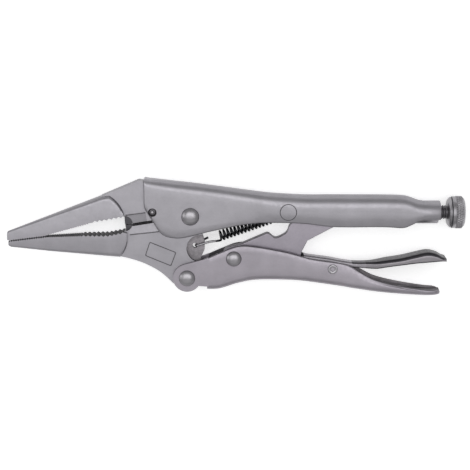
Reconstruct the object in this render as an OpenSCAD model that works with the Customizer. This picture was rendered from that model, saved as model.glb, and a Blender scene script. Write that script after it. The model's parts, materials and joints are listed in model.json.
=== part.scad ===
// Long-nose locking pliers, closed and lying flat on one side.
// The side view is drawn around the jaw rivet: u runs towards the adjusting
// knob, v towards the back of the upper handle, and w is the height above
// the middle plane. The last translation puts the assembly on its ground.

/* [Overall] */
// Distance from the jaw rivet to the tip of the nose
nose_reach = 97.2; // [96:0.1:98]
// Distance from the jaw rivet to the rear face of the knob
knob_reach = 144.1; // [143.5:0.1:146]

/* [Handles] */
// Outer width of the upper handle's channel
handle_w = 11.4; // [11.2:0.1:12]
// Outer width of the lower handle's channel
grip_w = 11.0; // [10.8:0.1:11.6]
// Thickness of the upper handle's sheet
sheet = 2.2; // [2:0.05:2.3]
// Diameter of the threaded tube at the rear of the upper handle
tube_d = 12.4; // [12:0.1:13]

/* [Jaws] */
// Thickness of both jaws between the handle's cheeks
jaw_t = 6.7; // [6.4:0.05:6.8]
// Thickness of the nose at its root
nose_root_t = 10.2; // [9:0.1:11]
// Thickness of the nose at its tip
nose_tip_t = 3.2; // [2.5:0.1:4]
// Thickness of the lower jaw's ear around the spring hole
ear_t = 2.5; // [2:0.1:3]

/* [Linkage] */
// Thickness of the toggle link
link_t = 5.0; // [4.5:0.1:5.4]
// Radius of the jaw rivet's shank
jaw_rivet_r = 3.2; // [3:0.1:3.5]
// Radius of the other rivets' shanks
link_rivet_r = 2.8; // [2.5:0.1:3]
// Width of the release lever between the lower handle's cheeks
lever_in_w = 6.6; // [6:0.1:6.8]
// Width of the release lever's thumb pad
lever_pad_w = 11.4; // [10:0.1:12]
// Thickness of the release lever's sheet
lever_sheet = 1.6; // [1.2:0.1:1.8]

/* [Screw] */
// Diameter of the adjusting screw's thread
screw_d = 7.5; // [7:0.1:7.8]
// Distance from the jaw rivet to the screw's inner tip
screw_tip = 91.2; // [91:0.1:95]
// Diameter of the knob
knob_d = 17.2; // [16:0.1:17.2]
// Length of the knob
knob_l = 8.8; // [8:0.1:9]

/* [Spring] */
// Outer diameter of the return spring
coil_d = 6.1; // [5.5:0.1:6.2]
// Diameter of the spring's wire
wire_d = 1.0; // [0.8:0.1:1.1]

/* [Hidden] */
$fn = 48;

// Running clearance on the radius of every pin, and the play between layers
run = 0.05;
play = 0.3;
// A length that is sure to pass right through the object
through = 60;

// Pivots in the side view
handle_pivot = [-2.0, -33.4];
link_pivot = [22.8, -22.8];
link_end = [82.8, 1.3];
lever_pivot = [75.1, -28.3];
front_pin = [-19.9, 2.2];
ear_hole = [2.3, -16.5];
ear_centre = [5.3, -17.7];
ear_r = 7.5;
ear_hole_r = 1.4;

// Levels above the middle plane
handle_r = handle_w / 2;
rear_r = handle_r + 0.8;
channel_r = handle_r - sheet;
ground = knob_d / 2;
screw_r = screw_d / 2;
screw_v = link_end[1];
tube_start = 119.0;
tube_end = 131.6;
boss_r = 10.5;
back_corner = 4.2;

// Place of the jaw rivet on the ground plan
back_top = 19.8;
grip_bottom = -43.0;
pivot_place = [(nose_reach - knob_reach) / 2, -(back_top + grip_bottom) / 2, ground];

// Arc of radius r around c, from angle a to angle b
function arc(c, r, a, b, n = 12) =
    [for (i = [0:n]) c + r * [cos(a + (b - a) * i / n), sin(a + (b - a) * i / n)]];

// Point at t between b and c on a smooth curve through a, b, c and d
function blend_at(a, b, c, d, t) =
    0.5 * (2 * b + (c - a) * t + (2 * a - 5 * b + 4 * c - d) * t * t
           + (3 * b - a - 3 * c + d) * t * t * t);

// Smooth curve through the points p, with n steps between neighbours
function curve(p, n = 4) = let (last = len(p) - 1)
    [for (i = [0:last - 1], k = [0:n - 1])
        blend_at(p[max(i - 1, 0)], p[i], p[i + 1], p[min(i + 2, last)], k / n),
     p[last]];

// Row of n teeth of height h along the line from a to b
function teeth(a, b, n, h) = let (side = [a[1] - b[1], b[0] - a[0]] / norm(b - a))
    [for (i = [0:n - 1], k = [0, 1]) a + (b - a) * (i + k / 2) / n + side * h * k];

// Puts the assembly on its ground, centred over the origin
module placed() {
    translate(pivot_place) children();
}

module plate(points, t) {
    linear_extrude(height = t, center = true) polygon(points);
}

module bore(p, r) {
    translate([p[0], p[1], 0]) cylinder(r = r, h = through, center = true);
}

// Straight round bar between two points of the middle plane
module bar(a, b, r) {
    translate([a[0], a[1], 0])
        rotate([0, 0, atan2(b[1] - a[1], b[0] - a[0])])
            rotate([0, 90, 0]) cylinder(r = r, h = norm(b - a));
}

function reversed(list) = [for (i = [len(list) - 1:-1:0]) list[i]];

// Open channel of bent sheet, lofted through rows of [u, spine, edge, half width].
// The sheet has thickness t, and the spine's corners are rounded with radius c.
function section(row, c, t) =
    let (up = sign(row[1] - row[2]), h = row[3], high = abs(row[1] - row[2]),
         ro = min(c, h - 0.3, high - 0.2), ri = max(ro - t, 0.2),
         outer = arc([h - ro, 0], ro, 0, 90, 5), inner = arc([h - t - ri, 0], ri, 90, 0, 5),
         half = concat([[h, row[2]]], [for (q = outer) [q[0], row[1] + up * (q[1] - ro)]]),
         bore = concat([for (q = inner) [q[0], row[1] + up * (q[1] - ri - t)]], [[h - t, row[2]]]),
         ring = concat(half, [for (q = reversed(half)) [-q[0], q[1]]],
                       [for (q = reversed(bore)) [-q[0], q[1]]], bore))
    up > 0 ? ring : reversed(ring);

module channel(rows, c, t) {
    n = len(rows);
    m = len(section(rows[0], c, t));
    polyhedron(
        points = [for (row = rows) for (q = section(row, c, t)) [row[0], q[1], q[0]]],
        faces = concat([for (j = [0:m / 2 - 2]) [m - 1 - j, m - 2 - j, j + 1, j]],
                       [for (j = [0:m / 2 - 2]) let (a = (n - 1) * m) [a + j, a + j + 1, a + m - 2 - j, a + m - 1 - j]],
                       [for (i = [0:n - 2], j = [0:m - 1]) each
                           let (a = i * m + j, b = i * m + (j + 1) % m) [[a, b, a + m], [b, b + m, a + m]]]));
}

// Upper handle from its front edge to the threaded tube
back_rows = curve([[-24.3, back_top, 4.6, handle_r], [-21.7, 19.5, 0.3, handle_r],
    [-16.6, 19.0, -8.0, handle_r], [-12.8, 18.6, -10.9, handle_r], [-6.6, 17.9, -11.9, handle_r],
    [0, 17.2, -10.8, handle_r], [14, 15.4, -7.4, handle_r], [30, 13.2, -4.3, handle_r + 0.3],
    [43, 11.7, -3.5, rear_r - 0.3], [60, 10.8, -4.0, rear_r - 0.1], [76, 10.8, -5.8, rear_r],
    [101, 10.7, -5.8, rear_r], [112, 9.9, -6.2, rear_r - 0.1], [119.6, 8.3, -4.2, rear_r - 0.3]], 2);

module upper_handle() {
    tab_u = 54;
    color([0.63, 0.62, 0.64]) placed()
    difference() {
        union() {
            channel(back_rows, back_corner, sheet);
            translate([tube_start, screw_v, 0])
                rotate([0, 90, 0]) cylinder(d = tube_d, h = tube_end - tube_start);
            // Tab lanced out of the back, which holds the spring's rear hook
            translate([tab_u, 0.2, -1.5]) cube([1.6, 9.5, 3]);
        }
        bore([0, 0], jaw_rivet_r);
        bore(front_pin, 1.6);
        for (side = [0, 1]) mirror([0, 0, side])
            translate([front_pin[0], front_pin[1], handle_r - 0.8]) cylinder(r1 = 1.6, r2 = 2.4, h = 0.9);
        translate([tube_start - 1, screw_v, 0]) rotate([0, 90, 0]) cylinder(r = screw_r + run, h = 30);
        translate([tab_u - 5, 2.0, 0]) rotate([0, 90, 0]) cylinder(r = 0.75, h = 10);
    }
}

// Space in which the nose's thickness tapers towards the tip
module nose_wedge() {
    rotate([90, 0, 0])
        linear_extrude(height = 2 * through, center = true)
            polygon([[-nose_reach, -nose_tip_t / 2], [-nose_reach, nose_tip_t / 2],
                     [-44, nose_root_t / 2], [-30, nose_root_t / 2],
                     [-30, -nose_root_t / 2], [-44, -nose_root_t / 2]]);
}

// Tilted block that bevels one face of a jaw from the line a-b downwards
module bevel_block(a, b, tilt, below) {
    way = b - a;
    translate([a[0], a[1], jaw_t / 2])
        rotate([0, 0, atan2(way[1], way[0])]) rotate([tilt, 0, 0])
            translate([0, below ? -8 : 0, 0]) cube([norm(way), 8, 6]);
}

// Pocket in the throat, in front of the cutter, with a thin web left in it
throat = [-34.5, -4.2];
throat_r = 4.0;
web_t = 2.8;
upper_land = [[-30.4, -4.3], [-21, -2.7]];
lower_land = [[-30.4, -5.4], [-21, -3.9]];

module upper_jaw() {
    grip = concat(teeth([-35.2, 0.2], [-52.8, -2.9], 7, 0.8),
                  teeth([-53.6, -3.8], [-76.5, -10.4], 19, 0.5),
                  teeth([-76.5, -10.4], [-96.2, -13.1], 16, 0.6));
    color([0.64, 0.63, 0.65]) placed()
    difference() {
        union() {
            intersection() {
                plate(concat([[-nose_reach, -9.2], [-69, 1.6], [-45, 10.8]],
                             arc([-50.5, -3], 16, 68, 12), grip, [[-96.4, -13.5]]), 2 * through);
                nose_wedge();
            }
            plate(concat([[-47, 9.9], [-28.2, 18.0], [-24.6, 17.7], [-24.4, 14.2], [2, 11.9], [2, 9]],
                         arc([0, 0], boss_r - 1, 78, 188), [upper_land[1], upper_land[0]],
                         arc(throat, throat_r, 0, 84), [[-38, -0.4]]), jaw_t);
            // Key under the round back of the handle
            plate([[-24.7, 16.6], [2, 13.9], [2, 11.5], [-24.7, 12]], 4);
            plate([upper_land[0] + [1, 0], [-30.8, -0.4], [-34.9, -0.4], [-34.6, -4.95],
                   upper_land[0] + [0, -0.1]], web_t);
        }
        bore([0, 0], boss_r + 0.4);
        bore(front_pin, 1.6);
        for (side = [0, 1]) mirror([0, 0, side])
            bevel_block([-34.2, 0.3], [-23.6, 1.7], 15, true);
    }
}

module lower_jaw() {
    grip = concat(teeth([-96.0, -14.45], [-76.5, -11.8], 16, 0.55),
                  teeth([-76.5, -11.7], [-57.5, -10.9], 16, 0.5),
                  teeth([-57.5, -11.0], [-43.5, -10.9], 6, 0.8),
                  teeth([-43.5, -10.9], [-34.5, -9.1], 4, 0.8));
    under = curve([[-37, -22], [-32.1, -23.1], [-24.1, -25.9], [-16, -30.5], [-9.2, -36.8]], 3);
    color([0.62, 0.61, 0.64]) placed()
    difference() {
        union() {
            intersection() {
                plate(concat(grip, arc([-48, -12], 14.8, 14, -42), [[-74.4, -18.9], [-95.4, -17.0]]),
                      2 * through);
                nose_wedge();
            }
            plate(concat([[-40, -21.7], [-36.5, -9.7]], arc(throat, throat_r, -84, 0),
                         lower_land, [[-14, -2.6], [0, 0], [5.6, -9.0], [6.6, -11.6], [7.5, -14.5],
                         [7.3, -18.7], [5.4, -23]], arc(handle_pivot, 7.0, 20, -160),
                         reversed(under)), jaw_t);
            // Round boss on the jaw rivet
            cylinder(r = boss_r, h = jaw_t, center = true);
            plate([lower_land[0] + [1, 0], [-30.8, -8.6], [-34.0, -8.6], [-34.5, -5.25],
                   lower_land[0] + [0, 0.1]], web_t);
        }
        bore([0, 0], jaw_rivet_r + run);
        bore(handle_pivot, link_rivet_r + run);
        bore(ear_hole, ear_hole_r);
        for (side = [0, 1]) mirror([0, 0, side]) {
            bevel_block([-32.1, -10.2], [-16.5, -8.5], -13.5, false);
            translate([ear_centre[0], ear_centre[1], ear_t / 2]) cylinder(r = ear_r, h = 10);
        }
    }
}

module upper_jaw_pin() {
    color([0.72, 0.71, 0.72]) placed()
    translate([front_pin[0], front_pin[1], 0]) cylinder(r = 1.55, h = handle_w - 0.4, center = true);
}

// Rivet with a low domed head on the front and a flat tail on the ground side
module rivet(p, shank_r, width, head_r, head_h) {
    dome_r = (head_r * head_r + head_h * head_h) / (2 * head_h);
    tail_h = ground - width / 2;
    translate([p[0], p[1], 0]) {
        cylinder(r = shank_r, h = width, center = true);
        intersection() {
            translate([0, 0, width / 2 + head_h - dome_r]) sphere(r = dome_r, $fn = 64);
            translate([0, 0, width / 2]) cylinder(r = head_r, h = head_h - 0.2);
        }
        translate([0, 0, -ground]) cylinder(r1 = head_r - 1.2, r2 = head_r - 0.2, h = 1);
        translate([0, 0, 1 - ground]) cylinder(r = head_r - 0.2, h = tail_h - 1);
    }
}

module jaw_rivet() {
    color([0.66, 0.65, 0.67]) placed() rivet([0, 0], jaw_rivet_r, handle_w, 4.7, 2.4);
}

module lower_handle_rivet() {
    color([0.62, 0.6, 0.64]) placed() rivet(handle_pivot, link_rivet_r, grip_w, 4.3, 2.2);
}

module toggle_link_rivet() {
    color([0.62, 0.6, 0.64]) placed() rivet(link_pivot, link_rivet_r, grip_w, 4.1, 2.2);
}

module release_lever_rivet() {
    // The cheeks stand this much further out here than at the front
    spread = 0.7;
    color([0.6, 0.59, 0.62]) placed()
    difference() {
        translate([lever_pivot[0], lever_pivot[1], 0]) {
            cylinder(r = 1.9, h = grip_w + 2 * spread, center = true);
            for (side = [0, 1]) mirror([0, 0, side])
                translate([0, 0, grip_w / 2 + spread]) cylinder(r1 = 2.6, r2 = 2.3, h = 0.7);
        }
        bore(lever_pivot, 1.1);
    }
}

// Lower handle from the front of its spine to the tail
grip_r = grip_w / 2;
grip_rows = curve([[8.6, -39.8, -22.6, grip_r], [15.3, -39.6, -19.6, grip_r], [25, -36.6, -16.0, grip_r],
    [34.5, -34.8, -16.3, grip_r + 0.1], [49.5, -34.7, -19.0, grip_r + 0.3], [58.6, -35.2, -21.4, grip_r + 0.4],
    [65, -36.0, -23.1, grip_r + 0.5], [79, -38.0, -25.1, grip_r + 0.7], [84.7, -39.0, -26.9, grip_r + 0.8],
    [89.9, -39.8, -30.1, grip_r + 0.8], [98.6, -41.1, -34.5, grip_r + 0.9],
    [111.8, -42.3, -37.7, grip_r + 0.9], [123.5, grip_bottom, -39.7, grip_r + 0.6],
    [130.8, -42.9, -40.2, grip_r - 0.8]], 2);

module lower_handle() {
    grip_sheet = grip_r - channel_r;
    lobe = concat(arc(handle_pivot, 7.4, 325, 114, 14),
                  curve([[-5.1, -26.4], [1, -24.8], [6.6, -23.3], [9.4, -22.2]], 3), [[9.4, -38]]);
    color([0.59, 0.57, 0.6]) placed()
    difference() {
        union() {
            channel(grip_rows, 3.4, grip_sheet);
            for (side = [0, 1]) mirror([0, 0, side])
                translate([0, 0, channel_r]) linear_extrude(height = grip_sheet) polygon(lobe);
        }
        for (p = [handle_pivot, link_pivot]) bore(p, link_rivet_r);
        bore(lever_pivot, 1.9);
    }
}

module toggle_link() {
    color([0.61, 0.59, 0.62]) placed()
    difference() {
        plate(concat(arc(link_pivot, 6.4, 285, 118), [[26, -15.8], [40.1, -9.7]],
                     curve([[41.4, -9.8], [43.8, -11.8], [45.5, -12.2], [48.5, -10.9], [50.9, -9.0],
                            [52.0, -6.0], [53.6, -3.6]], 3),
                     arc(link_end, 3.6, 112, -70),
                     [[72.4, -7.9], [61.8, -13.7], [58.9, -19.4], [58.2, -22.6], [56, -24.6], [40, -27.8]]),
              link_t);
        bore(link_pivot, link_rivet_r + run);
    }
}

module release_lever() {
    top = curve([[59.9, -21.4], [66, -22.2], [73.3, -23.2], [79, -24.4], [87, -25.6], [94.3, -25.4],
                 [102, -24.3], [111.8, -22.9], [119.6, -21.5], [124.9, -20.5], [129.3, -21.2],
                 [132.8, -22.8], [134.8, -24.6]], 2);
    under_tail = [[134.5, -25.2], [120.5, -25.9], [110, -26.7], [103, -27.7], [94.3, -29.6], [88, -31]];
    under_front = [[80, -31.8], [70, -31.8], [64, -27], [59.9, -25.2]];
    pad_start = 97;
    color([0.5, 0.49, 0.52]) placed()
    difference() {
        union() {
            intersection() {
                plate(concat(top, under_tail, under_front), lever_in_w);
                translate([0, -60, -10]) cube([pad_start + 4, 60, 20]);
            }
            intersection() {
                plate(concat(top, under_tail, under_front), lever_pad_w);
                translate([pad_start, -60, -10]) cube([60, 60, 20]);
            }
        }
        plate(concat([for (p = top) if (p[0] < 100) p - [0, lever_sheet]], [[100, -50], [59, -50]]),
              lever_in_w - 2 * lever_sheet);
        plate(concat([[pad_start + 2, -50]],
                     [for (p = top) if (p[0] > 99 && p[0] < 130) p - [0, lever_sheet]], [[130, -50]]),
              lever_pad_w - 2 * lever_sheet);
        bore(lever_pivot, 1.9 + run);
    }
}

module adjusting_screw() {
    neck = knob_reach - knob_l;
    color([0.42, 0.41, 0.43]) placed()
    translate([0, screw_v, 0]) rotate([0, 90, 0]) {
        translate([0, 0, screw_tip + 1]) cylinder(r = screw_r, h = neck - screw_tip - 1);
        translate([0, 0, screw_tip]) cylinder(r1 = screw_r - 1, r2 = screw_r, h = 1);
        translate([0, 0, neck]) cylinder(r = 2.6, h = knob_l - 2);
    }
}

module adjusting_knob() {
    color([0.5, 0.49, 0.51]) placed()
    translate([knob_reach, screw_v, 0]) rotate([0, -90, 0])
    rotate_extrude($fn = 96)
        polygon([[0, 0.6], [3, 0], [knob_d / 2 - 1.2, 0], [knob_d / 2, 1.6], [knob_d / 2, knob_l - 2],
                 [knob_d / 2 - 0.6, knob_l - 1.2], [4.4, knob_l - 0.1], [2.6 + run, knob_l - 0.1],
                 [2.6 + run, 1.8], [0, 1.8]]);
}

// Return spring: coil axis from the front end to the rear end, and its hooks
coil_front = [15.2, -11.6];
coil_rear = [46.4, -0.7];

module return_spring() {
    wire_r = wire_d / 2;
    hook_w = ear_t / 2 + wire_r + 0.2;
    inside = ear_hole + [0.6, 0];
    color([0.2, 0.2, 0.21]) placed() {
        bar(coil_front, coil_rear, coil_d / 2);
        bar(coil_rear - [2, 0.7], [52, 2.0], wire_r);
        bar([51.8, 2.0], [57.4, 2.0], wire_r);
        translate([57.4, 2.0, 0]) sphere(r = 1.1);
        for (side = [-1, 1])
            translate([0, 0, side * hook_w])
                bar(inside, side > 0 ? coil_front + [1.6, -0.6] : inside + [8, 2.1], wire_r);
        translate([inside[0], inside[1], 0])
            cylinder(r = 0.9 * wire_r, h = 2 * hook_w + 1.1 * wire_d, center = true);
    }
}

upper_handle();
upper_jaw();
upper_jaw_pin();
jaw_rivet();
lower_jaw();
lower_handle();
lower_handle_rivet();
toggle_link();
toggle_link_rivet();
release_lever();
release_lever_rivet();
adjusting_screw();
adjusting_knob();
return_spring();
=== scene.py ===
"""Long-nose locking pliers of satin nickel-plated steel, lying closed on a pale floor.

Shapes are drawn in millimetres around the jaw rivet, u towards the knob, v towards
the back of the upper handle and w up out of the middle plane, and are then put in
the CAD frame at the rivet's own place.
"""
import json
import math

import bmesh
import bpy
from mathutils import Matrix, Vector


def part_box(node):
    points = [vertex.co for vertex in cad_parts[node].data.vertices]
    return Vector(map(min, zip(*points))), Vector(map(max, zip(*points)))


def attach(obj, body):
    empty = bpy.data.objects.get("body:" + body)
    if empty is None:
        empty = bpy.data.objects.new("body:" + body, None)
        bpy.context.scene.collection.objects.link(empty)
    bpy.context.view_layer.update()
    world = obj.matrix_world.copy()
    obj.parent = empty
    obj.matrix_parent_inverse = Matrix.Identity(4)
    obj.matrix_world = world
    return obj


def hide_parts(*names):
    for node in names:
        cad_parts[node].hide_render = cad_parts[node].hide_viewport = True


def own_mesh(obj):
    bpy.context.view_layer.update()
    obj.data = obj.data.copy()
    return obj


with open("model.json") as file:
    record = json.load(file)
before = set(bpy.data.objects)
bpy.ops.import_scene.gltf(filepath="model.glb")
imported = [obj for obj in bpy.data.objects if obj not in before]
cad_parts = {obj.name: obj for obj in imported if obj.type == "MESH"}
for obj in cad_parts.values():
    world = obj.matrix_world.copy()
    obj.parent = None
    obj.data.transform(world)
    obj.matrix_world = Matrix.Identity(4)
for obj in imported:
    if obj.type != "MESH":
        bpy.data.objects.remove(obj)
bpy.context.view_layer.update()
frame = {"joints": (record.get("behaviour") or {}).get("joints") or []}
JOINTS = {j["name"]: j for j in frame["joints"]}
RIVET = Vector(JOINTS["jaw_open"]["pos_m"])
TO_FRAME = Matrix.Translation(RIVET) @ Matrix.Scale(0.001, 4)


def in_design(point):
    """A point of the frame, in the drawing's millimetres."""
    return tuple(round(x, 4) for x in (Vector(point) - RIVET) * 1000)


HANDLE_PIVOT = in_design(JOINTS["grip_swing"]["pos_m"])
LINK_PIVOT = in_design(JOINTS["link_swing"]["pos_m"])
LEVER_PIVOT = in_design(JOINTS["release_press"]["pos_m"])
GROUND = -in_design(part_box("jaw_rivet")[0])[2]

ROOT, JAW, GRIP = "upper_handle_body", "jaw_body", "grip_body"
LINK, LEVER, SCREW, KNOB = "link_body", "lever_body", "screw_body", "knob_body"

HANDLE_W, GRIP_W = 5.7, 5.5                      # half widths of the channels
SHEET, GRIP_SHEET, LINK_HALF = 2.2, 2.0, 2.5     # thickness of their sheets, half of the link's
JAW_HALF, NOSE_ROOT, NOSE_TIP = 3.35, 5.1, 1.6   # half thicknesses of the jaws
STAMP, STAMP_R = (51.4, 2.4), 4.5                # round stamping on the cheek
FRONT_PIN, EAR_HOLE, EAR_CENTRE, EAR_R = (-19.9, 2.2), (2.3, -16.5), (5.3, -17.7), 7.5
SCREW_V, TUBE_END, TUBE_R = 1.3, 131.6, 6.2       # axis of the screw and its tube
KNOB_END, KNOB_L, SCREW_TIP = 144.1, 8.8, 91.2
UPPER_BEVEL = ((-34.2, 0.3), (-23.6, 1.7))       # far edges of the cutter's bevels
LOWER_BEVEL = ((-32.1, -10.2), (-16.5, -8.5))
GROOVE_HALF = 0.32                               # half width of the groove along them


# ---------------------------------------------------------------- outlines

def arc(c, r, a, b, n=16):
    """Points on a circle of radius r round c, from angle a to angle b in degrees."""
    turn = [math.radians(a + (b - a) * i / n) for i in range(n + 1)]
    return [(c[0] + r * math.cos(t), c[1] + r * math.sin(t)) for t in turn]


def curve(points, steps=4):
    """Smooth curve through the points, which may have any number of coordinates."""
    last, out = len(points) - 1, []
    for i in range(last):
        a, b = points[max(i - 1, 0)], points[i]
        c, d = points[i + 1], points[min(i + 2, last)]
        for k in range(steps):
            t = k / steps
            out.append(tuple(
                0.5 * (2 * q + (r - p) * t + (2 * p - 5 * q + 4 * r - s) * t * t
                       + (3 * q - p - 3 * r + s) * t ** 3)
                for p, q, r, s in zip(a, b, c, d)))
    return out + [tuple(points[last])]


def along(points, u):
    """Value at u of a line through points sorted by u."""
    for (a, p), (b, q) in zip(points, points[1:]):
        if u <= b:
            return p + (q - p) * (u - a) / (b - a)
    return points[-1][1]


def tooth_rows(a, b, n, height):
    """Points of n teeth on the line from a to b; they stand off it by height."""
    length = math.dist(a, b)
    side = ((a[1] - b[1]) / length, (b[0] - a[0]) / length)
    out = []
    for i in range(2 * n):
        t, lift = i / (2 * n), height * (i % 2)
        out.append((a[0] + (b[0] - a[0]) * t + side[0] * lift,
                    a[1] + (b[1] - a[1]) * t + side[1] * lift))
    return out


# ------------------------------------------------------------------ meshes

def make(name, verts, faces):
    """Object of the given faces, turned so that they point outwards."""
    mesh = bpy.data.meshes.new(name)
    mesh.from_pydata([tuple(v) for v in verts], [], faces)
    bm = bmesh.new()
    bm.from_mesh(mesh)
    if bm.calc_volume(signed=True) < 0:
        bmesh.ops.reverse_faces(bm, faces=bm.faces)
    bm.to_mesh(mesh)
    bm.free()
    obj = bpy.data.objects.new(name, mesh)
    bpy.context.scene.collection.objects.link(obj)
    return obj


def prism(outline, low, high):
    """Outline in u and v, extruded in w from low to high."""
    n = len(outline)
    verts = [(u, v, low) for u, v in outline] + [(u, v, high) for u, v in outline]
    sides = [(i, (i + 1) % n, n + (i + 1) % n, n + i) for i in range(n)]
    return make("prism", verts, [tuple(range(n))[::-1], tuple(range(n, 2 * n))] + sides)


def loft(rings, name="loft"):
    """Skin over rings of equally many points, closed at both ends."""
    m, n = len(rings[0]), len(rings)
    faces = [(i * m + j, i * m + (j + 1) % m, (i + 1) * m + (j + 1) % m, (i + 1) * m + j)
             for i in range(n - 1) for j in range(m)]
    faces += [tuple(range(m))[::-1], tuple(range((n - 1) * m, n * m))]
    return make(name, [p for ring in rings for p in ring], faces)


def lathe(profile, place, axis="w", sides=72):
    """Profile of (radius, distance along the axis) turned about the axis through place."""
    rings = []
    for r, h in profile:
        r = max(r, 0.002)
        turn = [2 * math.pi * i / sides for i in range(sides)]
        if axis == "w":
            rings.append([(place[0] + r * math.cos(t), place[1] + r * math.sin(t), h)
                          for t in turn])
        else:
            rings.append([(h, place[0] + r * math.cos(t), r * math.sin(t)) for t in turn])
    return loft(rings, "lathe")


def tube(path, radius, sides=10, name="tube"):
    """Round wire along a path of points."""
    rings, side = [], Vector((0, 0, 1))
    points = [Vector(p) for p in path]
    for i, p in enumerate(points):
        way = (points[min(i + 1, len(points) - 1)] - points[max(i - 1, 0)]).normalized()
        side = (side - way * side.dot(way)).normalized()
        other = way.cross(side)
        rings.append([p + radius * (side * math.cos(t) + other * math.sin(t))
                      for t in (2 * math.pi * k / sides for k in range(sides))])
    return loft(rings, name)


def join(name, *parts):
    """One object that holds the meshes of all the parts, which are used up."""
    bm = bmesh.new()
    for part in parts:
        bm.from_mesh(part.data)
        bpy.data.objects.remove(part)
    mesh = bpy.data.meshes.new(name)
    bm.to_mesh(mesh)
    bm.free()
    obj = bpy.data.objects.new(name, mesh)
    bpy.context.scene.collection.objects.link(obj)
    return obj


def combine(obj, operation, *others):
    """Boolean of obj with each of the others, which are used up."""
    for other in others:
        modifier = obj.modifiers.new("boolean", "BOOLEAN")
        modifier.operation, modifier.object, modifier.solver = operation, other, "EXACT"
        graph = bpy.context.evaluated_depsgraph_get()
        mesh = bpy.data.meshes.new_from_object(obj.evaluated_get(graph))
        obj.modifiers.clear()
        obj.data = mesh
        bpy.data.objects.remove(other)
    return obj


def disc(p, r, low, high):
    """Round prism of radius r about p."""
    return prism(arc(p, r, 0, 360, 64)[:-1], low, high)


def finish_piece(obj, name, body, materials, stands_for, edge=0.0, angle=35):
    """Names the piece, puts it in the frame and gives it its body, finish and edges.

    It stands for the CAD nodes in stands_for. Its bevel, if any, is edge millimetres wide.
    """
    obj.name = name
    obj.data.transform(TO_FRAME)
    for material in materials:
        obj.data.materials.append(material)
    for face in obj.data.polygons:
        face.use_smooth = True
    obj.data.set_sharp_from_angle(angle=math.radians(angle))
    if edge:
        bevel = obj.modifiers.new("edge", "BEVEL")
        bevel.width, bevel.segments = edge / 1000, 3
        bevel.limit_method, bevel.angle_limit = "ANGLE", math.radians(angle)
        bevel.harden_normals, bevel.use_clamp_overlap = True, True
    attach(obj, body)
    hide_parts(*stands_for)
    return obj


def paint(obj, material, test):
    """Gives the material to the faces whose centre and normal, in the drawing, pass."""
    back, index = TO_FRAME.inverted(), list(obj.data.materials).index(material)
    for face in obj.data.polygons:
        if test(back @ face.center, face.normal):
            face.material_index = index


def paint_ring(obj, material, centre, inner, outer):
    """Gives the material to the faces that lie between two circles."""
    back, corners = TO_FRAME.inverted(), obj.data.vertices
    index = list(obj.data.materials).index(material)
    for face in obj.data.polygons:
        reach = [math.dist((back @ corners[i].co)[:2], centre) for i in face.vertices]
        if inner < min(reach) and max(reach) < outer:
            face.material_index = index


def on_line(p, a, b, reach=GROOVE_HALF + 0.04):
    """Whether p is within reach of the line from a to b."""
    length = math.dist(a, b)
    way = ((b[0] - a[0]) / length, (b[1] - a[1]) / length)
    forward = (p[0] - a[0]) * way[0] + (p[1] - a[1]) * way[1]
    return 0 < forward < length and abs((p[1] - a[1]) * way[0] - (p[0] - a[0]) * way[1]) < reach


def near(p, q, r):
    """Whether p is less than r from q, seen from above."""
    return math.hypot(p[0] - q[0], p[1] - q[1]) < r


# --------------------------------------------------------------- materials

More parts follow.
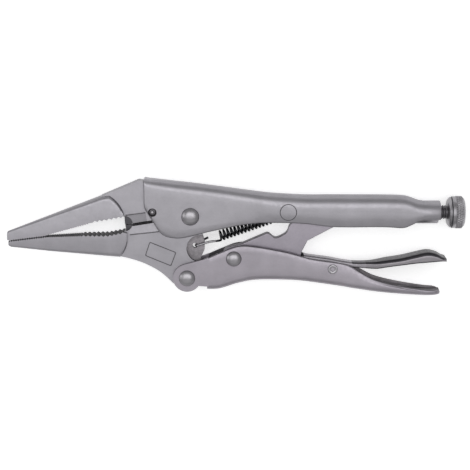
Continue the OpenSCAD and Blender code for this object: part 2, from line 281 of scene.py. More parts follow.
def steel(name, colour, rough, grain=1.0, mottle=0.06, sides=0.6):
    """Blasted and plated steel: fine pits, soft mottling and faint rubbed streaks.

    Painted shade: faces are painted darker the more they turn away from facing up or down,
    down to the share sides of the colour where they stand upright.
    """
    material = bpy.data.materials.new(name)
    material.use_nodes = True
    nodes, links = material.node_tree.nodes, material.node_tree.links
    shader = nodes["Principled BSDF"]
    shader.inputs["Metallic"].default_value = 1.0
    place = nodes.new("ShaderNodeTexCoord").outputs["Object"]

    def noise(scale, detail, stretch=(1, 1, 1)):
        mapping = nodes.new("ShaderNodeMapping")
        mapping.inputs["Scale"].default_value = stretch
        texture = nodes.new("ShaderNodeTexNoise")
        texture.inputs["Scale"].default_value = scale
        texture.inputs["Detail"].default_value = detail
        links.new(place, mapping.inputs["Vector"])
        links.new(mapping.outputs["Vector"], texture.inputs["Vector"])
        return texture.outputs["Fac"]

    def spread(value, low, high):
        remap = nodes.new("ShaderNodeMapRange")
        remap.inputs["From Min"].default_value = 0.3
        remap.inputs["From Max"].default_value = 0.7
        remap.inputs["To Min"].default_value = low
        remap.inputs["To Max"].default_value = high
        links.new(value, remap.inputs["Value"])
        return remap.outputs["Result"]

    def times(a, b):
        node = nodes.new("ShaderNodeMath")
        node.operation = "MULTIPLY"
        links.new(a, node.inputs[0])
        links.new(b, node.inputs[1])
        return node.outputs["Value"]

    clouds = spread(noise(110, 4), 1 - mottle, 1 + mottle)
    specks = spread(noise(2600, 3), 1 - 0.5 * mottle, 1 + 0.5 * mottle)
    streaks = spread(noise(380, 3, (0.12, 1, 1)), 1 - 0.3 * mottle, 1 + 0.3 * mottle)
    # Painted shade: the colour is darkened by how far the face turns from facing up or down.
    apart = nodes.new("ShaderNodeSeparateXYZ")
    links.new(nodes.new("ShaderNodeNewGeometry").outputs["Normal"], apart.inputs["Vector"])
    flat = nodes.new("ShaderNodeMath")
    flat.operation = "ABSOLUTE"
    links.new(apart.outputs["Z"], flat.inputs[0])
    painted_side_shade = spread(flat.outputs["Value"], sides, 1.0)
    painted_side_shade.node.inputs["From Min"].default_value = 0.4
    painted_side_shade.node.inputs["From Max"].default_value = 0.95
    tint = nodes.new("ShaderNodeMix")
    tint.data_type, tint.blend_type = "RGBA", "MULTIPLY"
    tint.inputs["Factor"].default_value = 1.0
    tint.inputs["A"].default_value = (*colour, 1)
    links.new(times(times(times(clouds, specks), streaks), painted_side_shade), tint.inputs["B"])
    links.new(tint.outputs["Result"], shader.inputs["Base Color"])
    base = nodes.new("ShaderNodeMath")
    base.operation = "MULTIPLY"
    base.inputs[1].default_value = rough
    links.new(spread(noise(700, 4), 0.86, 1.16), base.inputs[0])
    links.new(base.outputs["Value"], shader.inputs["Roughness"])

    bumps = None
    for scale, height in ((3200, 0.000012), (900, 0.00002), (160, 0.00004)):
        bump = nodes.new("ShaderNodeBump")
        bump.inputs["Strength"].default_value = min(1.0, 0.35 * grain)
        bump.inputs["Distance"].default_value = height * grain
        links.new(noise(scale, 3), bump.inputs["Height"])
        if bumps:
            links.new(bumps, bump.inputs["Normal"])
        bumps = bump.outputs["Normal"]
    links.new(bumps, shader.inputs["Normal"])
    return material


# sides sets each finish's painted shade: the share of its colour left on upright faces.
NICKEL = steel("satin_nickel", (0.445, 0.432, 0.464), 0.42, sides=0.66)
JAW_STEEL = steel("jaw_steel", (0.45, 0.437, 0.47), 0.43, sides=0.5)
GRIP_STEEL = steel("grip_steel", (0.44, 0.412, 0.455), 0.43, sides=0.52)
LINK_STEEL = steel("link_steel", (0.43, 0.40, 0.45), 0.46, sides=0.3)
LEVER_STEEL = steel("lever_steel", (0.33, 0.313, 0.335), 0.42, sides=0.2)
# Lit and shaded copies of the lever's steel: painted light on the front of its cheeks, painted shade
# over its back and along its lower edge.
LEVER_FRONT_PAINTED_LIGHT = steel("lever_front_painted_light", (0.41, 0.39, 0.42), 0.42, sides=0.8)
LEVER_PAINTED_SHADE = steel("lever_painted_shade", (0.17, 0.162, 0.175), 0.42, sides=0.7)
LEVER_MIDDLE_PAINTED_LIGHT = steel("lever_middle_painted_light", (0.37, 0.352, 0.38), 0.42, sides=0.5)
LEVER_DARK_PAINTED_SHADE = steel("lever_dark_painted_shade", (0.09, 0.086, 0.095), 0.4, sides=0.75)
# Painted shade for the inside of the lower handle's channel.
INNER_PAINTED_SHADE = steel("inner_painted_shade", (0.2, 0.187, 0.2), 0.5, 1.4, 0.15)
# Painted light: the near arm of the spring's front hook, lighter than the rest of the wire.
HOOK_WIRE_PAINTED_LIGHT = steel("hook_wire_painted_light", (0.4, 0.39, 0.41), 0.3, 0.6, 0.1, sides=1.0)
RIVET_STEEL = steel("rivet_steel", (0.46, 0.447, 0.472), 0.34, sides=0.55)
# Painted shade for the gaps where the jaws meet and between the lower handle's cheeks.
GAP_PAINTED_SHADE = steel("gap_painted_shade", (0.06, 0.057, 0.062), 0.55, 1.5, 0.2)
# Painted shade for recesses: the webs in the throat and the knob's groove.
RECESS_PAINTED_SHADE = steel("recess_painted_shade", (0.13, 0.127, 0.14), 0.5, 1.2, 0.12)
# Painted shade for grooves, holes, the ear's recess wall and the front pin's shank.
HOLLOW_PAINTED_SHADE = steel("hollow_painted_shade", (0.2, 0.193, 0.207), 0.55, 1.2, 0.12, sides=0.5)
EAR_STEEL = steel("ear_steel", (0.36, 0.34, 0.36), 0.6, 2.0, 0.2)
SCREW_STEEL = steel("screw_steel", (0.24, 0.232, 0.247), 0.38, sides=0.8)
KNOB_STEEL = steel("knob_steel", (0.37, 0.36, 0.38), 0.36, sides=0.82)
SPRING_STEEL = steel("spring_steel", (0.035, 0.035, 0.04), 0.24, 0.6, 0.2, sides=1.0)


# ----------------------------------------------------------------- handles

def channel(rows, sheet, flat=9.0, crown=0.0):
    """Open channel of bent sheet. Each row is (u, spine v, edge v, half width, corner).

    Its cheeks are flat where the half width is up to flat. Beyond, they draw in towards
    the edge by crown times the rest of the half width.
    """
    rings = []
    for u, spine, edge, half, corner in rows:
        up = 1 if spine > edge else -1
        high = abs(spine - edge)
        ro = min(corner, half - 0.3, high - 0.4)
        ri = max(ro - sheet, 0.25)
        bulge = crown * max(0.0, half - flat)
        rim = min(0.45 * sheet, 0.3 * high)
        tall = rim * (1 + 1.4 * min(1.0, max(0.0, (-6 - u) / 8)))
        wall = high - ro - tall
        cheek = []
        for k in range(7):
            t = k / 6
            drawn_in = bulge * max(0.0, 1 - 1.7 * t) ** 2
            cheek.append((half - drawn_in, edge + up * (tall + wall * t)))
        half_edge = [(half - bulge - rim + rim * math.cos(a), edge + up * (tall - tall * math.sin(a)))
                     for a in (math.radians(d) for d in (90, 60, 30))]
        outer = half_edge + cheek + [
            (half - ro + ro * math.cos(a), spine + up * (ro * math.sin(a) - ro))
            for a in (math.radians(d) for d in range(9, 91, 9))]
        inner = [(half - bulge - sheet - ri + ri * math.cos(a),
                  spine + up * (ri * math.sin(a) - ri - sheet))
                 for a in (math.radians(d) for d in range(90, -1, -18))]
        inner += [(half - bulge - sheet, edge + up * rim),
                  (half - bulge - sheet + 0.3 * rim, edge + up * 0.2 * rim)]
        ring = outer + [(-w, v) for w, v in outer[-2::-1]]
        ring += [(-w, v) for w, v in inner[::-1]] + inner
        rings.append([(u, v, w) for w, v in ring])
    return loft(rings)


def stamped_ring(centre, radius, level, depth, width=0.42):
    """Ring that cuts a round groove of the given depth below level."""
    ring = disc(centre, radius, level - depth, level + 3)
    return combine(ring, "DIFFERENCE", disc(centre, radius - width, level - 2, level + 4))


FRONT_LIP = [(-24.3, 19.3, 5.4, 5.1, 2.6), (-24.2, 19.55, 4.9, 5.4, 2.8),
             (-24.0, 19.72, 4.3, 5.6, 3.0)]
BACK_ROWS = FRONT_LIP + curve([
    (-23.7, 19.78, 3.6, 5.7, 3.2), (-21.7, 19.5, 0.3, 5.7, 3.8), (-16.6, 19.0, -8.0, 5.7, 4.4),
    (-12.8, 18.6, -10.9, 5.7, 4.7), (-6.6, 17.9, -11.9, 5.7, 4.9), (0, 17.2, -10.8, 5.7, 5),
    (14, 15.4, -7.4, 5.7, 5), (30, 13.2, -4.3, 6.0, 5.1), (43, 11.7, -3.5, 6.2, 5.7),
    (60, 10.8, -4.0, 6.4, 6.0), (76, 10.8, -5.8, 6.5, 6.1), (101, 10.7, -5.8, 6.5, 6.1),
    (111.5, 10.4, -6.3, 6.45, 6.1), (116, 9.4, -4.9, 6.4, 6.1), (119.5, 8.1, -3.1, 6.3, 6.0),
    (122.3, 7.55, -2.2, 6.22, 6.0)], 6)
handle = channel(BACK_ROWS, SHEET, 5.7, 0.95)
TUBE_BORE, WRAP_BORE = 3.85, 3.95
inner_sleeve = lathe(
    [(TUBE_BORE, 117.5), (4.6, 117.5), (5.7, 118.8), (5.95, 120), (5.95, TUBE_END - 1.6),
     (5.6, TUBE_END - 1.1), (TUBE_BORE, TUBE_END - 1.1)], (SCREW_V,), "u")


def rolled_wrap():
    """Sheet rolled round the sleeve, open along its underside."""
    rings = []
    for u, r in ((117.5, 5.9), (119, 6.1), (121, TUBE_R), (TUBE_END - 0.5, TUBE_R),
                 (TUBE_END - 0.1, 5.95), (TUBE_END, 5.6)):
        turn = [math.radians(d) for d in range(-30, 211, 8)]
        outer = [(u, SCREW_V + r * math.sin(t), r * math.cos(t)) for t in turn]
        inner = [(u, SCREW_V + WRAP_BORE * math.sin(t), WRAP_BORE * math.cos(t)) for t in turn[::-1]]
        rings.append(outer + inner)
    return loft(rings)


collar = join("collar", inner_sleeve, rolled_wrap())
for side in (1, -1):
    pin_hole = lathe([(1.6, side * 4), (1.6, side * (HANDLE_W - 0.9)), (2.35, side * 5.8),
                      (2.35, side * 7)], FRONT_PIN, "w", 48)
    handle = combine(handle, "DIFFERENCE", pin_hole)
handle = combine(handle, "DIFFERENCE", stamped_ring(STAMP, STAMP_R, 6.3, 0.75))
tab = prism([(54, 1.0), (55.6, 1.0), (55.6, 9.6), (54, 9.6)], -1.5, 1.5)
upper_shell = finish_piece(join("shell", handle, collar, tab), "upper_handle_shell", ROOT,
                           [NICKEL, HOLLOW_PAINTED_SHADE], ["upper_handle"], angle=40)

GRIP_ROWS = curve([
    (8.6, -39.8, -22.6, 5.5, 2.6), (15.3, -39.6, -19.6, 5.5, 3), (25, -36.6, -16.0, 5.5, 3),
    (34.5, -34.8, -16.3, 5.6, 3), (49.5, -34.7, -19.0, 5.8, 3), (58.6, -35.2, -21.4, 5.9, 3),
    (65, -36.0, -23.1, 6.0, 3), (79, -38.0, -25.1, 6.2, 3), (84.7, -39.0, -26.9, 6.3, 3),
    (89.9, -39.8, -30.1, 6.3, 3), (98.6, -41.1, -34.5, 6.4, 3), (111.8, -42.3, -37.7, 6.4, 2.8),
    (124.5, -43.0, -39.7, 6.1, 2.4), (130.0, -42.95, -40.1, 5.3, 2), (132.4, -42.5, -40.9, 3.6, 1)], 6)
grip = channel(GRIP_ROWS, GRIP_SHEET, 5.6, 0.5)
LOBE = (arc(HANDLE_PIVOT, 7.4, 325, 114, 36)
        + curve([(-5.1, -26.4), (1, -24.8), (6.6, -23.3), (9.4, -22.2)], 4)[1:] + [(9.4, -38)])
lobes = [prism(LOBE, 3.5, GRIP_W), prism(LOBE, -GRIP_W, -3.5)]
grip = finish_piece(combine(grip, "UNION", *lobes), "lower_handle_shell", GRIP,
                    [GRIP_STEEL, INNER_PAINTED_SHADE, GAP_PAINTED_SHADE], ["lower_handle"], angle=40)


# -------------------------------------------------------------------- jaws

def nose_half(u):
    """Half thickness of both noses at u."""
    return along([(-97.2, NOSE_TIP), (-44, NOSE_ROOT), (-30, NOSE_ROOT)], u)


def nose(spine, grip_line, fillet, stations):
    """Tapering nose lofted between its rounded spine and its toothed grip."""
    rings = []
    for u in sorted({round(p[0], 3) for p in grip_line} | set(stations)):
        outer, inner, half = along(spine, u), along(grip_line, u), nose_half(u)
        up = 1 if outer > inner else -1
        r = min(fillet * half / NOSE_ROOT + 0.25, 0.45 * abs(outer - inner))
        side = [(half, inner)] + [
            (half - r + r * math.cos(a), outer + up * (r * math.sin(a) - r))
            for a in (math.radians(d) for d in range(0, 91, 15))]
        rings.append([(u, v, w) for w, v in side] + [(u, v, -w) for w, v in side[::-1]])
    return loft(rings)


UPPER_SPINE = ([(-97.2, -9.6), (-96.9, -9.0), (-69, 1.6), (-46, 10.4)]
               + arc((-50.5, -3), 16, 60, 12, 18))
UPPER_GRIP = sorted(
    tooth_rows((-35.2, 0.2), (-52.8, -2.9), 7, 0.8)
    + tooth_rows((-53.6, -3.8), (-76.5, -10.4), 19, 0.5)
    + tooth_rows((-76.5, -10.6), (-96.2, -13.4), 16, 0.6) + [(-97.2, -13.5), (-34.9, -0.4)])
LOWER_SPINE = ([(-96.6, -16.6), (-95.4, -17.3), (-74.4, -19.4), (-40, -22.1)]
               + arc((-48, -12), 14.8, -44, -12, 14))
LOWER_GRIP = sorted(
    [(-96.6, -14.4)] + tooth_rows((-96.0, -14.6), (-76.5, -12.0), 16, 0.6)
    + tooth_rows((-76.5, -11.9), (-57.5, -11.0), 16, 0.5)
    + tooth_rows((-57.5, -11.0), (-43.5, -10.9), 6, 0.8)
    + tooth_rows((-43.5, -10.9), (-34.5, -9.1), 4, 0.8) + [(-33.6, -9.0)])

THROAT, THROAT_R = (-34.5, -4.2), 4.0
UPPER_LAND = [(-30.4, -4.1), (-21, -2.5)]
LOWER_LAND = [(-30.4, -5.6), (-21, -4.1)]
WEB_HALF = 1.4                                   # half thickness of the webs in the throat
EVEN_STATIONS = [-90, -80, -60, -50]             # more sections along the noses


def bevel_block(a, b, tilt, below):
    """Block, tilted by so many degrees, that cuts the shallow bevel beside the cutter."""
    length, turn = math.dist(a, b), math.atan2(b[1] - a[1], b[0] - a[0])
    depth = -9 if below else 9
    block = prism([(0, 0), (length, 0), (length, depth), (0, depth)], 0, 6)
    block.data.transform(Matrix.Translation((a[0], a[1], JAW_HALF)) @ Matrix.Rotation(turn, 4, "Z")
                         @ Matrix.Rotation(math.radians(tilt), 4, "X"))
    return block


def edge_line(a, b):
    """Narrow strip that cuts a groove from a to b in the jaw's face."""
    length = math.dist(a, b)
    side = Vector(((a[1] - b[1]) / length, (b[0] - a[0]) / length)) * GROOVE_HALF
    corners = [Vector(a) + side, Vector(a) - side, Vector(b) - side, Vector(b) + side]
    return prism([tuple(c) for c in corners], JAW_HALF - 0.25, JAW_HALF + 2)


def mirrored(obj):
    """Copy of obj on the other side of the middle plane."""
    copy = bpy.data.objects.new("mirror", obj.data.copy())
    bpy.context.scene.collection.objects.link(copy)
    copy.data.transform(Matrix.Scale(-1, 4, (0, 0, 1)))
    copy.data.flip_normals()
    return copy


upper_body = prism(
    [(-47, 10.2), (-27.2, 18.7), (-24.6, 18.3), (-24.4, 14.2), (2, 11.9)]
    + arc((0, 0), 10.9, 79.4, 193, 30) + [UPPER_LAND[1], UPPER_LAND[0]]
    + arc(THROAT, THROAT_R, 0, 84, 14) + [(-38, -0.4)], -JAW_HALF, JAW_HALF)
bevel = bevel_block(*UPPER_BEVEL, 7, True)
line = edge_line(*UPPER_BEVEL)
upper_body = combine(upper_body, "DIFFERENCE", mirrored(bevel), bevel, mirrored(line), line)
upper_blade = prism([(-30.6, -4.8), (-30.2, -3.9), (-20.6, -2.3), (-20.6, -3.2)], -1.3, 1.3)
upper_web = prism([(-29.4, -4.35), (-30.8, -0.4), (-34.9, -0.4), (-34.6, -4.95), (-30.4, -4.5)],
                  -WEB_HALF, WEB_HALF)
key = prism([(-24.7, 16.6), (2, 13.9), (2, 11.5), (-24.7, 12)], -2, 2)
upper_nose = nose(UPPER_SPINE, UPPER_GRIP, 2.1, [p[0] for p in UPPER_SPINE] + EVEN_STATIONS)
upper_jaw = finish_piece(join("jaw", upper_body, upper_web, upper_blade, key, upper_nose),
                         "upper_jaw_forging", ROOT,
                         [JAW_STEEL, GAP_PAINTED_SHADE, HOLLOW_PAINTED_SHADE, RECESS_PAINTED_SHADE], ["upper_jaw"], edge=0.25)

UNDER = curve([(-37, -22), (-32.1, -23.1), (-24.1, -25.9), (-16, -30.5), (-9.2, -36.8)], 5)
lower_body = prism(
    [(-40, -21.7), (-36.5, -9.7)] + arc(THROAT, THROAT_R, -84, -18, 12) + LOWER_LAND
    + [(-14, -2.6)] + arc((0, 0), 10.5, 165, -58, 44)
    + [(6.6, -11.6), (7.5, -14.5), (7.3, -18.7), (5.4, -23)]
    + arc(HANDLE_PIVOT, 7.0, 20, -148, 30) + UNDER[::-1], -JAW_HALF, JAW_HALF)
bevel = bevel_block(*LOWER_BEVEL, -2.5, False)
line = edge_line(*LOWER_BEVEL)
lower_blade = prism([(-30.6, -5.0), (-20.6, -3.4), (-20.6, -4.6), (-30.2, -6.0)], -1.3, 1.3)
recess = disc(EAR_CENTRE, EAR_R, 1.25, 9)
FRAME_BOX = [(-21.7, -13.9), (-7.5, -19.7), (-10.4, -27.4), (-24.3, -21.6)]


def shrunk(corners, inset, radius):
    """Four corners moved inwards by inset and rounded with radius."""
    centre = Vector((sum(p[0] for p in corners) / 4, sum(p[1] for p in corners) / 4))
    out = []
    for i, p in enumerate(corners):
        before = (Vector(corners[i - 1]) - Vector(p)).normalized()
        after = (Vector(corners[(i + 1) % 4]) - Vector(p)).normalized()
        tip = Vector(p) + (before + after) * inset
        for k in range(5):
            t = k / 4
            a, b = tip + before * radius, tip + after * radius
            out.append(tuple((1 - t) ** 2 * a + 2 * t * (1 - t) * tip + t * t * b))
    return out


groove = prism(shrunk(FRAME_BOX, 0, 0.9), JAW_HALF - 0.3, JAW_HALF + 2)
groove = combine(groove, "DIFFERENCE", prism(shrunk(FRAME_BOX, 0.5, 0.7), 0, 9))
lower_body = combine(lower_body, "DIFFERENCE", mirrored(bevel), bevel, mirrored(line), line,
                     mirrored(recess), recess,
                     disc(EAR_HOLE, 1.4, -9, 9), groove)
lower_web = prism([(-29.4, -5.3), (-30.8, -8.6), (-34.0, -8.6), (-34.5, -5.25), (-30.4, -5.2)],
                  -WEB_HALF, WEB_HALF)
lower_nose = nose(LOWER_SPINE, LOWER_GRIP, 2.1, [p[0] for p in LOWER_SPINE] + EVEN_STATIONS)
lower_jaw = finish_piece(join("jaw", lower_body, lower_web, lower_blade, lower_nose),
                         "lower_jaw_forging", JAW,
                         [JAW_STEEL, GAP_PAINTED_SHADE, EAR_STEEL, HOLLOW_PAINTED_SHADE, RECESS_PAINTED_SHADE], ["lower_jaw"], edge=0.25)


def in_groove(p, n):
    """Test for the grooves along the cutter's bevels."""
    deep = JAW_HALF - 0.3 < abs(p.z) < JAW_HALF - 0.01
    return deep and (on_line(p, *UPPER_BEVEL) or on_line(p, *LOWER_BEVEL))


# Painted shade: the toothed faces of the noses, dark as the gap where they meet.
paint(upper_jaw, GAP_PAINTED_SHADE, lambda p, n: p.x < -34.5 and abs(n.z) < 0.3 and n.y < 0.3
      and p.y < along(UPPER_GRIP, p.x) + 0.2)
paint(lower_jaw, GAP_PAINTED_SHADE, lambda p, n: p.x < -33.5 and abs(n.z) < 0.3 and n.y > -0.3
      and p.y > along(LOWER_GRIP, p.x) - 0.2)
for jaw in (upper_jaw, lower_jaw):
    # Painted shade on the webs in the throat.
    paint(jaw, RECESS_PAINTED_SHADE, lambda p, n: -35.2 < p.x < -29 and -8.7 < p.y < -0.2
          and abs(p.z) < WEB_HALF + 0.1)
    # Painted shade: the cutter's lands and blades, dark as the gap between them.
    paint(jaw, GAP_PAINTED_SHADE, lambda p, n: -31 < p.x < -20 and -6.5 < p.y < -2
          and (abs(n.z) < 0.3 or abs(p.z) < WEB_HALF))
    # Painted shade in the grooves along the cutter's bevels.
    paint(jaw, HOLLOW_PAINTED_SHADE, in_groove)
# Painted shade: the inner faces of the lower handle's channel towards its tail.
paint(grip, INNER_PAINTED_SHADE, lambda p, n: p.x > 60
      and (n.z * p.z < -0.3 or (n.y > 0.4 and abs(p.z) < 4)))
# Painted shade: the inside of the lower handle's channel at its front.
paint(grip, GAP_PAINTED_SHADE, lambda p, n: 9.5 < p.x < 60 and p.z < 0 and (n.z > 0.3 or n.y > 0.2))
paint(lower_jaw, EAR_STEEL, lambda p, n: near(p, EAR_CENTRE, EAR_R + 0.1) and abs(p.z) < 3.2)
# Painted shade on the wall of the ear's recess and in the groove of the frame.
paint(lower_jaw, HOLLOW_PAINTED_SHADE, lambda p, n: near(p, EAR_CENTRE, EAR_R + 0.15)
      and abs(n.z) < 0.5 and abs(p.z) < 3.4)
paint(lower_jaw, HOLLOW_PAINTED_SHADE, lambda p, n: -25 < p.x < -7 and -28 < p.y < -13
      and 2.9 < p.z < JAW_HALF - 0.05)
# Painted shade round the front pin and in the groove of the round stamping.
paint(upper_shell, HOLLOW_PAINTED_SHADE, lambda p, n: near(p, FRONT_PIN, 2.4) and abs(p.z) < HANDLE_W - 0.05)
paint_ring(upper_shell, HOLLOW_PAINTED_SHADE, STAMP, STAMP_R - 0.5, STAMP_R + 0.05)


# ------------------------------------------------------------------ rivets

def dome(radius, base, height, steps=12):
    """Head profile from its rim to its centre, flattened in the middle."""
    out = [(radius - 0.25, base - 0.4), (radius, base + 0.12), (radius - 0.04, base + 0.3)]
    for i in range(1, steps + 1):
        t = i / steps
        r = radius * (1 - t) * 0.99
        out.append((r, base + 0.3 + (height - 0.3) * (1 - (r / radius) ** 2.6)))
    return out


def rivet(name, p, width, radius, height, body, node, shank=3.0):
    """Rivet at p with a domed head over the face at width and a flat tail on the floor."""
    tail = [(0, -GROUND), (radius - 1.3, -GROUND), (radius - 0.45, -GROUND + 0.5),
            (radius - 0.25, -GROUND + 1.1), (radius - 0.25, -width - 0.01), (shank, -width)]
    obj = lathe(tail + [(shank, width - 0.3)] + dome(radius, width, height), p)
    finish_piece(obj, name, body, [RIVET_STEEL], [node], angle=50)


rivet("jaw_rivet_head", (0, 0), HANDLE_W, 4.7, 2.2, ROOT, "jaw_rivet")
rivet("handle_rivet_head", HANDLE_PIVOT, GRIP_W, 4.3, 2.0, GRIP, "lower_handle_rivet", 2.7)
rivet("link_rivet_head", LINK_PIVOT, GRIP_W, 4.1, 2.0, GRIP, "toggle_link_rivet", 2.7)

pin = lathe([(0, -5.5), (0.7, -5.4), (0.95, -5.1), (1.0, -4.6), (1.55, -4.5), (1.55, 4.5), (1.0, 4.6),
             (0.95, 5.1), (0.7, 5.4), (0.3, 5.5), (0, 5.5)], FRONT_PIN, "w", 40)
pin = finish_piece(pin, "front_pin", ROOT, [RIVET_STEEL, HOLLOW_PAINTED_SHADE], ["upper_jaw_pin"],
                   angle=50)
# Painted shade on the pin's shank between its heads.
paint(pin, HOLLOW_PAINTED_SHADE, lambda p, n: abs(p.z) < 4.7)

eyelet = lathe([(1.15, -6.6), (1.7, -6.9), (2.4, -6.7), (2.6, -6.2), (1.88, -6.15), (1.88, 6.15),
                (2.6, 6.2), (2.4, 6.7), (1.7, 6.9), (1.15, 6.6), (1.1, 6.0), (1.1, -6.0)],
               LEVER_PIVOT, "w", 48)
finish_piece(eyelet, "lever_eyelet", GRIP, [RIVET_STEEL], ["release_lever_rivet"],
             angle=50)


# ---------------------------------------------------- link, lever and screw

LINK_OUTLINE = (
    arc(LINK_PIVOT, 6.4, 285, 118, 40) + [(26, -15.8), (40.1, -9.7)]
    + curve([(41.4, -9.8), (43.8, -11.8), (45.5, -12.2), (48.5, -10.9), (50.9, -9.0),
             (52.0, -6.0), (53.6, -3.6)], 5)
    + arc((82.8, 1.3), 3.6, 112, -70, 24)
    + [(72.4, -7.9), (61.8, -13.7), (58.9, -19.4), (58.2, -22.6), (56, -24.6), (40, -27.8)])
finish_piece(prism(LINK_OUTLINE, -LINK_HALF, LINK_HALF), "toggle_link_plate", LINK,
             [LINK_STEEL], ["toggle_link"], edge=0.35)

LEVER_ROWS = curve([
    (59.9, -21.4, -25.2, 3.3, 1.3), (66, -22.2, -27.2, 3.3, 1.3), (73.3, -23.2, -28.6, 3.3, 1.3),
    (80, -24.5, -28.6, 3.3, 1.3), (87, -25.4, -28.2, 3.3, 1.3), (94.3, -25.3, -28.7, 3.5, 1.4),
    (99, -24.8, -28.6, 4.6, 1.8), (104, -23.9, -27.6, 5.5, 2.0), (111.8, -22.7, -26.5, 5.7, 2.1),
    (119.6, -20.8, -25.5, 5.7, 2.2), (125.4, -19.6, -25.0, 5.7, 2.3), (130.2, -20.5, -24.6, 5.6, 2.1),
    (133.2, -22.2, -24.4, 5.4, 1.6), (135.4, -23.0, -24.4, 5.2, 1)], 5)
LEVER_SPINE = [row[:2] for row in LEVER_ROWS]
LEVER_EDGE = [(row[0], row[2]) for row in LEVER_ROWS]


def on_lever_top(p, n):
    """Test for the lever's back and its rounded corners."""
    return n.y > 0.3 and p.y > along(LEVER_SPINE, p.x) - 2.4


lever = finish_piece(channel(LEVER_ROWS, 1.5), "release_lever_sheet", LEVER,
                     [LEVER_STEEL, LEVER_FRONT_PAINTED_LIGHT, LEVER_MIDDLE_PAINTED_LIGHT, LEVER_DARK_PAINTED_SHADE, LEVER_PAINTED_SHADE],
                     ["release_lever"], angle=40)
# Painted light on the lever's front and painted shade over its back and along its lower edge.
paint(lever, LEVER_FRONT_PAINTED_LIGHT, lambda p, n: p.x < 88)
paint(lever, LEVER_MIDDLE_PAINTED_LIGHT, lambda p, n: 88 < p.x < 93)
paint(lever, LEVER_PAINTED_SHADE, lambda p, n: 86 < p.x < 93 and on_lever_top(p, n))
paint(lever, LEVER_DARK_PAINTED_SHADE, lambda p, n: 93 < p.x < 134 and on_lever_top(p, n))
paint(lever, LEVER_DARK_PAINTED_SHADE, lambda p, n: p.x > 93 and p.y < along(LEVER_EDGE, p.x) + 0.55)

PITCH = 1.25


def threaded(start, end, major, minor, name):
    """Round bar with a fine right-hand thread."""
    rings, sides, per_turn = [], 40, 10
    count = round((end - start) / PITCH * per_turn)
    for i in range(count + 1):
        h = start + (end - start) * i / count
        ring = []
        for k in range(sides):
            phase = (h / PITCH - k / sides) % 1
            r = minor + (major - minor) * min(1, 1.25 * (1 - abs(2 * phase - 1)))
            r -= max(0.0, 0.9 - (h - start)) * 0.9
            t = 2 * math.pi * k / sides
            ring.append((h, SCREW_V + r * math.cos(t), r * math.sin(t)))
        rings.append(ring)
    return loft(rings, name)


neck = KNOB_END - KNOB_L
screw = join("screw", threaded(SCREW_TIP, neck - 0.4, 3.74, 3.15, "thread"),
             lathe([(3.1, neck - 0.6), (3.1, neck), (2.6, neck), (2.6, KNOB_END - 2), (0, KNOB_END - 2)],
                   (SCREW_V,), "u"))
finish_piece(screw, "adjusting_screw_thread", SCREW, [SCREW_STEEL], ["adjusting_screw"],
             angle=60)


def knob_mesh():
    """Knob with a chamfer, a groove, a smooth collar, a diamond knurl and a dimpled end."""
    front, sides, diamonds = KNOB_END - KNOB_L, 264, 44
    before = [(2.7, 1.2), (2.7, 0.1), (4.2, 0.05), (6.5, 0.15), (7.3, 0.7), (8.1, 1.5), (8.15, 1.7),
              (7.9, 1.8), (7.9, 2.25), (8.3, 2.35), (8.4, 2.6), (8.4, 4.1)]
    after = [(8.0, 0.75), (7.3, 0.1), (6.9, 0), (3.2, 0), (2.4, 0.25), (0.9, 0.6), (0.002, 0.62)]
    start, end, bands, raised = front + 4.3, KNOB_END - 1.1, 24, 0.34
    profile = [(r, front + h, 0) for r, h in before]
    profile += [(8.25, start + (end - start) * i / bands, raised if 0 < i < bands else 0.0)
                for i in range(bands + 1)]
    profile += [(r, KNOB_END - h, 0) for r, h in after]
    rings = []
    for r0, h, knurl in profile:
        ring = []
        for k in range(sides):
            a = diamonds * k / sides
            s = (h - start) / 1.15
            wave = [1 - abs(2 * ((a + d * s) % 1) - 1) for d in (0.5, -0.5)]
            r = r0 + knurl * (min(1.0, 1.6 * min(wave)) if knurl else 0)
            t = 2 * math.pi * k / sides
            ring.append((h, SCREW_V + r * math.cos(t), r * math.sin(t)))
        rings.append(ring)
    return loft(rings, "knob")


knob = finish_piece(knob_mesh(), "adjusting_knob_turned", KNOB, [KNOB_STEEL, RECESS_PAINTED_SHADE],
                    ["adjusting_knob"], angle=55)
# Painted shade in the knob's groove.
paint(knob, RECESS_PAINTED_SHADE, lambda p, n: neck + 1.7 < p.x < neck + 2.35)


# ------------------------------------------------------------------ spring

COIL_FRONT, COIL_REAR, COIL_R, WIRE_R, TURNS = (15.2, -11.6), (46.4, -0.7), 2.4, 0.6, 16.5


def spring_mesh():
    """Coil between the two hooks: one through the ear's hole, one on the handle's tab."""
    front, rear = Vector((*COIL_FRONT, 0)), Vector((*COIL_REAR, 0))
    way = (rear - front).normalized()
    side, up = Vector((-way.y, way.x, 0)), Vector((0, 0, 1))
    coil, steps = [], 26
    for i in range(int(TURNS * steps) + 1):
        turn = i / steps
        t = math.pi + 2 * math.pi * turn
        coil.append(front + way * (turn / TURNS * (rear - front).length)
                    + COIL_R * (side * math.cos(t) + up * math.sin(t)))
    hole = Vector((*EAR_HOLE, 0)) + Vector((0.5, 0.1, 0))
    through = [(6.4, 3.6, -1.9), (1.0, 0.7, -2.1), (0, 0, -1.4), (0, 0, 0), (0, 0, 1.4),
               (0.9, 0.2, 2.1), (7.0, 2.0, 1.8)]
    head = curve([hole + Vector(step) for step in through]
                 + [coil[0] + Vector((-1.6, -0.2, 0.8)), coil[0]], 6)
    tail_end = Vector((57.2, 2.0, 0))
    tail = curve([coil[-1], rear + Vector((1.0, 0.2, 1.2)), rear + Vector((2.6, 1.4, 0)),
                  Vector((52.2, 2.0, 0)), tail_end], 6)
    return tube(head[:-1] + coil + tail[1:], WIRE_R, 10, "spring")


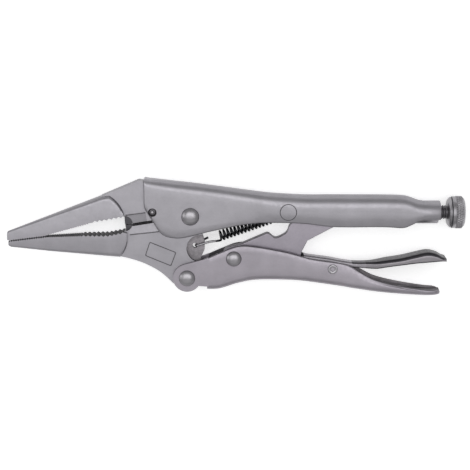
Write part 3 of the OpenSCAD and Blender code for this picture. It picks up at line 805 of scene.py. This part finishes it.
spring = finish_piece(spring_mesh(), "return_spring_wire", ROOT,
                      [SPRING_STEEL, HOOK_WIRE_PAINTED_LIGHT], ["return_spring"], angle=60)
# Painted light on the near arm of the front hook.
paint(spring, HOOK_WIRE_PAINTED_LIGHT, lambda p, n: 3.2 < p.x < 13.6 and p.z > 0.3)
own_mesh(spring)


# ------------------------------------------------------- floor, light, view

def emitter(name, place, aim, size, power):
    """Rectangular white softbox at place, turned towards aim."""
    light = bpy.data.lights.new(name, "AREA")
    light.shape, light.size, light.size_y = "RECTANGLE", *size
    light.energy = power
    obj = bpy.data.objects.new(name, light)
    bpy.context.scene.collection.objects.link(obj)
    obj.location = place
    obj.rotation_euler = (Vector(aim) - Vector(place)).to_track_quat("-Z", "Y").to_euler()


floor = make("floor", [(-3, -3, 0), (3, -3, 0), (3, 3, 0), (-3, 3, 0)], [(0, 1, 2, 3)])
paper = bpy.data.materials.new("paper")
paper.use_nodes = True
paper.node_tree.nodes["Principled BSDF"].inputs["Base Color"].default_value = (0.93, 0.93, 0.93, 1)
paper.node_tree.nodes["Principled BSDF"].inputs["Roughness"].default_value = 0.9
paper.node_tree.nodes["Principled BSDF"].inputs["Emission Color"].default_value = (1, 1, 1, 1)
paper.node_tree.nodes["Principled BSDF"].inputs["Emission Strength"].default_value = 0.5
floor.data.materials.append(paper)

emitter("overhead", (0.0, 0.38, 1.4), (0, 0.38, 0), (2.2, 1.24), 10)
emitter("left", (-1.3, 0.1, 0.55), (0, 0, 0), (0.7, 0.5), 1.4)
emitter("fill", (0.0, -0.9, 1.0), (0, 0, 0), (2.0, 0.5), 0.7)

world = bpy.data.worlds.new("studio")
bpy.context.scene.world = world
world.use_nodes = True
world.node_tree.nodes["Background"].inputs["Color"].default_value = (1, 1, 1, 1)
world.node_tree.nodes["Background"].inputs["Strength"].default_value = 0.35

TILT, DISTANCE, SPAN = math.radians(13), 0.7, 0.2492
camera = bpy.data.cameras.new("camera")
camera.sensor_width, camera.clip_start = 36, 0.01
camera.lens = camera.sensor_width * DISTANCE / SPAN
viewer = bpy.data.objects.new("camera", camera)
bpy.context.scene.collection.objects.link(viewer)
back = Vector((0, math.sin(TILT), math.cos(TILT)))
up = Vector((0, math.cos(TILT), -math.sin(TILT)))
target = Vector((0.0, 0.0005, RIVET.z))
viewer.matrix_world = Matrix.Translation(target + back * DISTANCE) @ Matrix(
    ((1, up.x, back.x), (0, up.y, back.y), (0, up.z, back.z))).to_4x4()
bpy.context.scene.camera = viewer
bpy.context.scene.view_settings.view_transform = "Standard"
